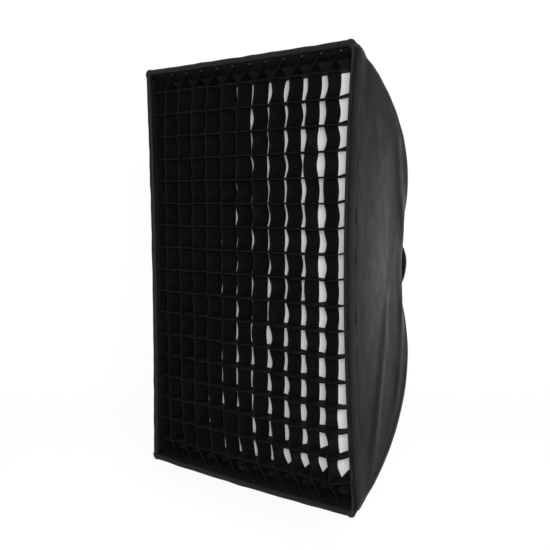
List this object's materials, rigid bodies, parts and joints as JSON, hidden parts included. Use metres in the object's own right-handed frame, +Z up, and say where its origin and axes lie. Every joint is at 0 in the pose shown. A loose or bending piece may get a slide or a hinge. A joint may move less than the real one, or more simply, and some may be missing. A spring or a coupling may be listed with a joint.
{
  "type": "softbox",
  "caption": "Rectangular fabric softbox with an egg-crate grid, front diffuser, inner baffle, flexed corner rods and a rotating bayonet speed ring with a lock knob.",
  "frame": {"origin": "centre of the bayonet ring's rear face, on the axis of the ring", "axes": "+Y out of the ring's rear face towards the flash, -Y the way the light leaves, +Z up along the box's height, +X to the right seen from behind the flash"},
  "size_m": [0.5996, 0.4944, 0.9],
  "materials": {
    "shell_nylon": "satin black coated nylon outside, silver inside",
    "webbing": "matt black woven webbing and hook-and-loop band",
    "diffuser_cloth": "matt white translucent nylon",
    "grid_cloth": "matt black stiffened cloth",
    "rod_steel": "drawn spring steel",
    "collar_aluminium": "black anodised, satin",
    "bayonet_steel": "turned, zinc plated",
    "knob_plastic": "moulded black",
    "shoe_rubber": "matt dark rubber"
  },
  "bodies": {
    "bayonet": {"bayonet_ring": "bayonet_steel", "retaining_ring": "bayonet_steel"},
    "softbox": {"speed_ring_collar": "collar_aluminium", "rod_1": "rod_steel", "rod_2": "rod_steel", "rod_3": "rod_steel", "rod_4": "rod_steel", "corner_pocket_1": "webbing", "corner_pocket_2": "webbing", "corner_pocket_3": "webbing", "corner_pocket_4": "webbing", "panel_right": "shell_nylon", "panel_left": "shell_nylon", "panel_top": "shell_nylon", "panel_bottom": "shell_nylon", "front_lip_right": "webbing", "front_lip_left": "webbing", "front_lip_top": "webbing", "front_lip_bottom": "webbing", "rear_cuff": "webbing", "inner_baffle": "diffuser_cloth", "baffle_strap_1": "webbing", "baffle_strap_2": "webbing", "baffle_strap_3": "webbing", "baffle_strap_4": "webbing"},
    "brake_shoe": {"brake_shoe": "shoe_rubber"},
    "lock_knob": {"lock_knob": "knob_plastic"},
    "front_diffuser": {"front_diffuser": "diffuser_cloth"},
    "grid": {"grid_border_right": "grid_cloth", "grid_border_left": "grid_cloth", "grid_border_top": "grid_cloth", "grid_border_bottom": "grid_cloth", "grid_strip_v_01": "grid_cloth", "grid_strip_v_02": "grid_cloth", "grid_strip_v_03": "grid_cloth", "grid_strip_v_04": "grid_cloth", "grid_strip_v_05": "grid_cloth", "grid_strip_v_06": "grid_cloth", "grid_strip_v_07": "grid_cloth", "grid_strip_v_08": "grid_cloth", "grid_strip_v_09": "grid_cloth", "grid_strip_v_10": "grid_cloth", "grid_strip_v_11": "grid_cloth", "grid_strip_h_01": "grid_cloth", "grid_strip_h_02": "grid_cloth", "grid_strip_h_03": "grid_cloth", "grid_strip_h_04": "grid_cloth", "grid_strip_h_05": "grid_cloth", "grid_strip_h_06": "grid_cloth", "grid_strip_h_07": "grid_cloth", "grid_strip_h_08": "grid_cloth", "grid_strip_h_09": "grid_cloth", "grid_strip_h_10": "grid_cloth", "grid_strip_h_11": "grid_cloth", "grid_strip_h_12": "grid_cloth", "grid_strip_h_13": "grid_cloth", "grid_strip_h_14": "grid_cloth", "grid_strip_h_15": "grid_cloth", "grid_strip_h_16": "grid_cloth", "grid_strip_h_17": "grid_cloth"}
  },
  "joints": [
    {"name": "ring_spin", "type": "hinge", "parent": "bayonet", "child": "softbox", "pos_m": [0, 0, 0], "axis": [0, 1, 0], "continuous": true},
    {"name": "shoe_slide", "type": "slide", "parent": "softbox", "child": "brake_shoe", "axis": [0, 0, -1], "range_m": [0, 0.0021]},
    {"name": "knob_turn", "type": "hinge", "parent": "brake_shoe", "child": "lock_knob", "pos_m": [0, -0.021, -0.1], "axis": [0, 0, -1], "range_deg": [0, 720]},
    {"name": "diffuser_pull", "type": "slide", "parent": "softbox", "child": "front_diffuser", "axis": [0, -1, 0], "range_m": [0, 0.1]},
    {"name": "grid_pull", "type": "slide", "parent": "front_diffuser", "child": "grid", "axis": [0, -1, 0], "range_m": [0, 0.1]}
  ],
  "couplings": [
    {"joint": "shoe_slide", "follows": "knob_turn", "m_per_rad": 0.00015915}
  ]
}
